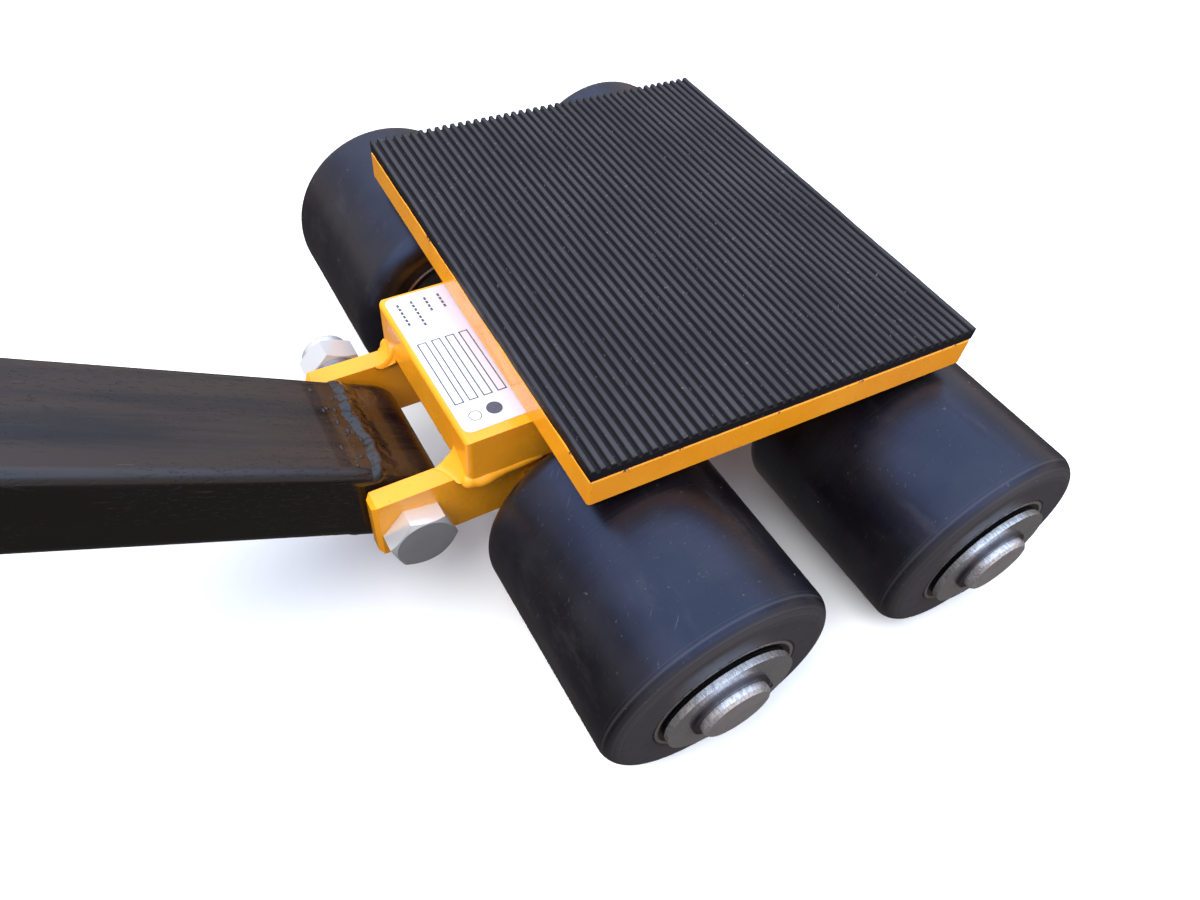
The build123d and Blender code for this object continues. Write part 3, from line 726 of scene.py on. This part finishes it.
def name_plate_print():
    """Blank fields, plain dashes, a disc and a ring printed on the name plate: no lettering."""
    low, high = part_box("name_plate")
    z = high.z + 0.02 * MM
    line = 0.45 * MM
    points = []
    faces = []

    def bar(x0, x1, y0, y1):
        first = len(points)
        points.extend([(x0, y0, z), (x1, y0, z), (x1, y1, z), (x0, y1, z)])
        faces.append((first, first + 1, first + 2, first + 3))

    def box_outline(x0, x1, y0, y1):
        bar(x0, x1, y0, y0 + line)
        bar(x0, x1, y1 - line, y1)
        bar(x0, x0 + line, y0, y1)
        bar(x1 - line, x1, y0, y1)

    def dot(x, y, outside, inside):
        around = 32
        first = len(points)
        for radius in (outside, inside):
            for k in range(around):
                turn = 2 * math.pi * k / around
                points.append((x + radius * math.cos(turn), y + radius * math.sin(turn), z))
        for k in range(around):
            after = (k + 1) % around
            faces.append((first + k, first + after, first + around + after, first + around + k))

    row_pitch = 5.1 * MM
    field_width = 3.4 * MM
    field_start = low.y + 26 * MM
    field_end = low.y + 57.5 * MM
    dash = 1.5 * MM
    dash_pitch = 2.1 * MM
    dash_half_height = 0.45 * MM
    dashes_in_row = (6, 7, 4, 4)
    for row, dashes in enumerate(dashes_in_row):
        front = high.x - 2.0 * MM - row * row_pitch
        box_outline(front - field_width, front, field_start, field_end)
        middle_x = front - field_width / 2
        for i in range(dashes):
            start = low.y + 4 * MM + i * dash_pitch
            bar(middle_x - dash_half_height, middle_x + dash_half_height, start, start + dash)
    dot(high.x - 6 * MM, high.y - 6 * MM, 2.2 * MM, 1.9 * MM)
    dot(high.x - 13 * MM, high.y - 6.5 * MM, 2.7 * MM, 0.05 * MM)
    piece("name_plate_print", points, faces, "chassis", ink(), flat=True)


def bolt_thread():
    """Thread of the slack hinge bolt between washer and nut, and on its tip."""
    washer_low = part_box("hinge_washer")[0].y
    nut_low, nut_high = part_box("hinge_nut")
    root = 5.9 * MM
    crest = 6.32 * MM
    pitch = 1.75 * MM
    steps = 28
    run_out = 8                     # steps over which the thread rises from its root
    foot = 0.42                     # half width at the root and at the crest, as shares of the pitch
    flat = 0.06
    gap = 0.1 * MM
    stretches = (
        ("inner", nut_high.y + gap, washer_low - gap),
        ("tip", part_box("hinge_bolt")[0].y + 1.0 * MM, nut_low.y - 0.05 * MM),
    )
    for name, y0, y1 in stretches:
        turns = max(0.5, (y1 - y0 - pitch * 0.5) / pitch)
        count = int(turns * steps)
        points = []
        faces = []
        for i in range(count + 1):
            turn = 2 * math.pi * i / steps
            y = y0 + pitch * 0.5 + (y1 - y0 - pitch) * i / count
            fade = min(1.0, i / run_out, (count - i) / run_out)
            height = root + (crest - root) * fade
            for offset, radius in ((-foot, root), (-flat, height), (flat, height), (foot, root)):
                x = HINGE.x + radius * math.cos(turn)
                z = HINGE.z + radius * math.sin(turn)
                points.append((x, y + offset * pitch, z))
        for i in range(count):
            for k in range(3):
                a = i * 4 + k
                faces.append((a, a + 1, a + 5, a + 4))
        piece("bolt_thread_" + name, points, faces, "chassis", zinc)


def ribbed_grip(side, name):
    """Rubber grip with moulded rings and a domed end."""
    node = "handle_grip_" + name
    low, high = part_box(node)
    centre = bar_to_row.inverted() @ middle(node)
    length = high.y - low.y
    outside = 16 * MM
    rim = 0.8 * MM
    groove = 0.7 * MM
    dome = 5 * MM
    bands = 15
    first = 3 * MM
    plain = 12 * MM                 # length at both ends together that has no rings
    ring_end = 0.55                 # shares of a band's width
    groove_start = 0.66
    groove_end = 0.88
    last_ring = 8.5 * MM
    end_hole = 0.2 * MM
    profile = [(0, HANDLE_R), (0, outside - rim), (rim, outside)]
    width = (length - plain) / bands
    for band in range(bands):
        y = first + (length - plain) * band / bands
        profile += [(y, outside), (y + width * ring_end, outside)]
        profile.append((y + width * groove_start, outside - groove))
        profile.append((y + width * groove_end, outside - groove))
    profile.append((length - last_ring, outside))
    dome_steps = 8
    for k in range(1, dome_steps + 1):
        turn = math.pi / 2 * k / dome_steps
        profile.append((length - dome + dome * math.sin(turn), outside - dome + dome * math.cos(turn)))
    profile += [(length, 4 * MM), (length, end_hole)]
    around = 48
    points = []
    for distance, radius in profile:
        y = centre.y + side * (distance - length / 2)
        for k in range(around):
            turn = side * 2 * math.pi * k / around
            x = centre.x + radius * math.cos(turn)
            z = centre.z + radius * math.sin(turn)
            points.append(bar_to_row @ Vector((x, y, z)))
    faces = strip(len(profile), around)
    made = piece("ribbed_grip_" + name, points, faces, "drawbar", grip)
    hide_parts(node)


eye_weld("eye_weld_upper", 1, 1, 1.9 * MM)
eye_weld("eye_weld_lower", -1, 2, 1.0 * MM)
weld_spatter()
handle_welds()
chassis_welds()
ribbed_mat()
name_plate_print()
bolt_thread()
ribbed_grip(1, "left")
ribbed_grip(-1, "right")


# ---------------------------------------------------------------- camera, light and floor

def camera():
    """Looks down on the skate from the front left, close up with a wide lens."""
    right = Vector((-0.86481, 0.49686, 0.07241))
    down = Vector((0.34310, 0.69006, -0.63726))
    ahead = Vector((-0.36659, -0.52626, -0.76724))
    made = bpy.data.objects.new("camera", bpy.data.cameras.new("camera"))
    turn = Matrix((right, -down, -ahead)).transposed().to_4x4()
    made.matrix_world = Matrix.Translation((0.167708, 0.211309, 0.290743)) @ turn
    made.data.lens = 25.57
    made.data.sensor_width = 36
    made.data.shift_x = 0.0106
    made.data.shift_y = 0.00725
    made.data.clip_start = 0.01
    bpy.context.scene.collection.objects.link(made)
    bpy.context.scene.camera = made


def softbox(name, place, target, width, height, power, colour):
    """A rectangular area light aimed at a point."""
    lamp = bpy.data.lights.new(name, "AREA")
    lamp.shape = "RECTANGLE"
    lamp.size = width
    lamp.size_y = height
    lamp.energy = power
    lamp.color = colour
    made = bpy.data.objects.new(name, lamp)
    made.location = place
    made.rotation_euler = (Vector(target) - Vector(place)).to_track_quat("-Z", "Y").to_euler()
    bpy.context.scene.collection.objects.link(made)
    return made


def sky():
    """Soft sky by height: dark ground, a warm band at the horizon, pale blue above."""
    world = bpy.data.worlds.new("studio")
    world.use_nodes = True
    tree = world.node_tree
    direction = tree.nodes.new("ShaderNodeTexCoord")
    split = tree.nodes.new("ShaderNodeSeparateXYZ")
    tree.links.new(direction.outputs["Generated"], split.inputs[0])
    half = tree.nodes.new("ShaderNodeMapRange")
    half.inputs["From Min"].default_value = -1
    tree.links.new(split.outputs["Z"], half.inputs["Value"])
    ramp = tree.nodes.new("ShaderNodeValToRGB")
    tree.links.new(half.outputs[0], ramp.inputs["Fac"])
    stops = [
        (0.45, (0.055, 0.050, 0.047)), (0.51, (0.35, 0.29, 0.245)), (0.62, (0.32, 0.29, 0.28)),
        (0.74, (0.30, 0.32, 0.40)), (0.83, (0.62, 0.74, 1.0)), (1.0, (0.66, 0.80, 1.0)),
    ]
    marks = ramp.color_ramp.elements
    while len(marks) < len(stops):
        marks.new(0.5)
    for mark, (height, colour) in zip(marks, stops):
        mark.position = height
        mark.color = (*colour, 1)
    background = tree.nodes["Background"]
    tree.links.new(ramp.outputs[0], background.inputs["Color"])
    background.inputs["Strength"].default_value = 1.9
    bpy.context.scene.world = world


def light():
    """Soft daylight from above and in front, and a weaker light on the left side."""
    sky()
    key = softbox("key", (0.85, 0.15, 1.3), (0, 0, 0.05), 1.2, 1.2, 27, (1.0, 0.95, 0.86))
    key.visible_glossy = False
    side = softbox("side", (-0.55, 0.75, 0.42), (-0.03, 0.05, 0.08), 0.5, 0.5, 4.2, (1.0, 0.95, 0.88))
    side.visible_glossy = False


def floor():
    """Plain pale floor. Polished parts mirror the sky's dark lower half instead of it."""
    mesh = bpy.data.meshes.new("floor")
    reach = 6.0
    square = [(-reach, -reach, 0), (reach, -reach, 0), (reach, reach, 0), (-reach, reach, 0)]
    mesh.from_pydata(square, [], [(0, 1, 2, 3)])
    made = bpy.data.objects.new("floor", mesh)
    mesh.materials.append(floor_material())
    bpy.context.scene.collection.objects.link(made)
    made.visible_glossy = False
    made.visible_diffuse = False


def backdrop():
    """Pale round wall far behind everything. Only the camera sees it."""
    radius = 5.9
    height = 5.0
    around = 96
    points = []
    for z in (0, height):
        for k in range(around):
            turn = 2 * math.pi * k / around
            points.append((radius * math.cos(turn), radius * math.sin(turn), z))
    mesh = bpy.data.meshes.new("backdrop")
    mesh.from_pydata(points, [], strip(2, around, closed_ends=False))
    made = bpy.data.objects.new("backdrop", mesh)
    wall = Graph("pale_backdrop", Roughness=0.9, Specular_IOR_Level=0.0, Emission_Strength=1.0)
    wall.set("Base Color", (0.0, 0.0, 0.0, 1))
    wall.set("Emission Color", (0.90, 0.93, 0.96, 1))
    mesh.materials.append(wall.material)
    bpy.context.scene.collection.objects.link(made)
    for rays in ("diffuse", "glossy", "transmission", "shadow"):
        setattr(made, "visible_" + rays, False)


camera()
light()
floor()
backdrop()
bpy.context.scene.view_settings.view_transform = "Standard"
